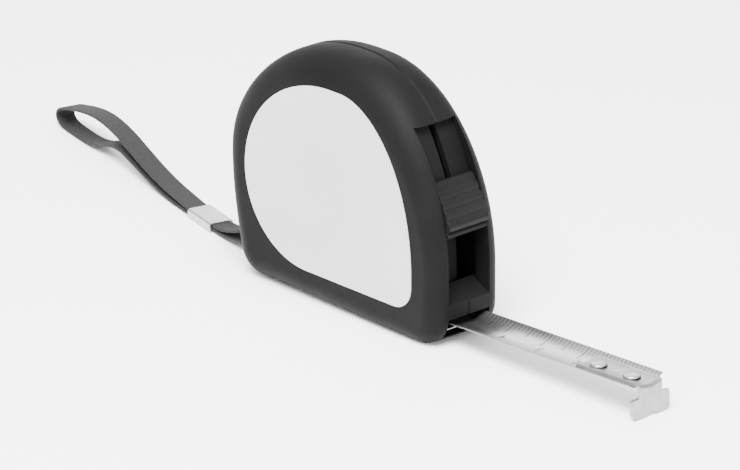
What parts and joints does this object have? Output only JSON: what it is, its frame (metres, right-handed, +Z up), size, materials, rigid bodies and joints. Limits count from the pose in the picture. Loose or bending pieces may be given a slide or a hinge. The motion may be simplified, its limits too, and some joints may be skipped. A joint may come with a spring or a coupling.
{
  "type": "tape measure",
  "caption": "Pocket tape measure: rounded black case with side labels, ribbed lock button, steel blade drawn out with a riveted end hook, and a woven wrist strap.",
  "frame": {"origin": "centre of the case's flat base, on the seam between its two shells", "axes": "+X out of the mouth along the blade, +Y to the far side across the case, +Z up"},
  "size_m": [0.1949, 0.0326, 0.0522],
  "materials": {
    "case_rubber": "soft-touch matt black moulding",
    "label_plate": "satin light grey plate",
    "button_plastic": "satin black moulding",
    "inner_plastic": "plain dark moulding",
    "reel_plastic": "natural white moulding",
    "tape_steel": "bright rolled steel strip",
    "spring_steel": "blued spring strip",
    "hook_steel": "nickel-plated pressed steel",
    "rivet_metal": "satin domed head",
    "fastener_steel": "zinc-plated",
    "strap_weave": "black woven ribbon",
    "ferrule_metal": "satin sleeve"
  },
  "bodies": {
    "case": {"left_shell": "case_rubber", "right_shell": "case_rubber", "left_label": "label_plate", "right_label": "label_plate", "case_screws": "fastener_steel", "spindle": "fastener_steel", "power_spring": "spring_steel", "blade_run": "tape_steel", "strap_post": "fastener_steel", "strap": "strap_weave", "ferrule": "ferrule_metal"},
    "blade": {"blade": "tape_steel", "hook_rivets": "rivet_metal"},
    "hook": {"hook": "hook_steel"},
    "reel": {"spool": "reel_plastic", "spool_cover": "reel_plastic", "tape_coil": "tape_steel"},
    "lock": {"lock_button": "button_plastic", "lock_shoe": "inner_plastic", "lock_wedge": "inner_plastic"}
  },
  "joints": [
    {"name": "blade_slide", "type": "slide", "parent": "case", "child": "blade", "axis": [0.9993, 0, 0.0384], "range_m": [-0.036, 0], "deforming": ["blade_run"]},
    {"name": "hook_float", "type": "slide", "parent": "blade", "child": "hook", "axis": [0.9993, 0, 0.0384], "range_m": [-0.0007, 0]},
    {"name": "reel_spin", "type": "hinge", "parent": "case", "child": "reel", "pos_m": [-0.002, 0, 0.023], "axis": [0, 1, 0], "range_deg": [0, 126]},
    {"name": "lock_slide", "type": "hinge", "parent": "case", "child": "lock", "pos_m": [-0.0236, 0, 0.0136], "axis": [0, -1, 0], "range_deg": [0, 11]}
  ],
  "couplings": [
    {"joint": "reel_spin", "follows": "blade_slide", "rad_per_m": -60.976}
  ]
}
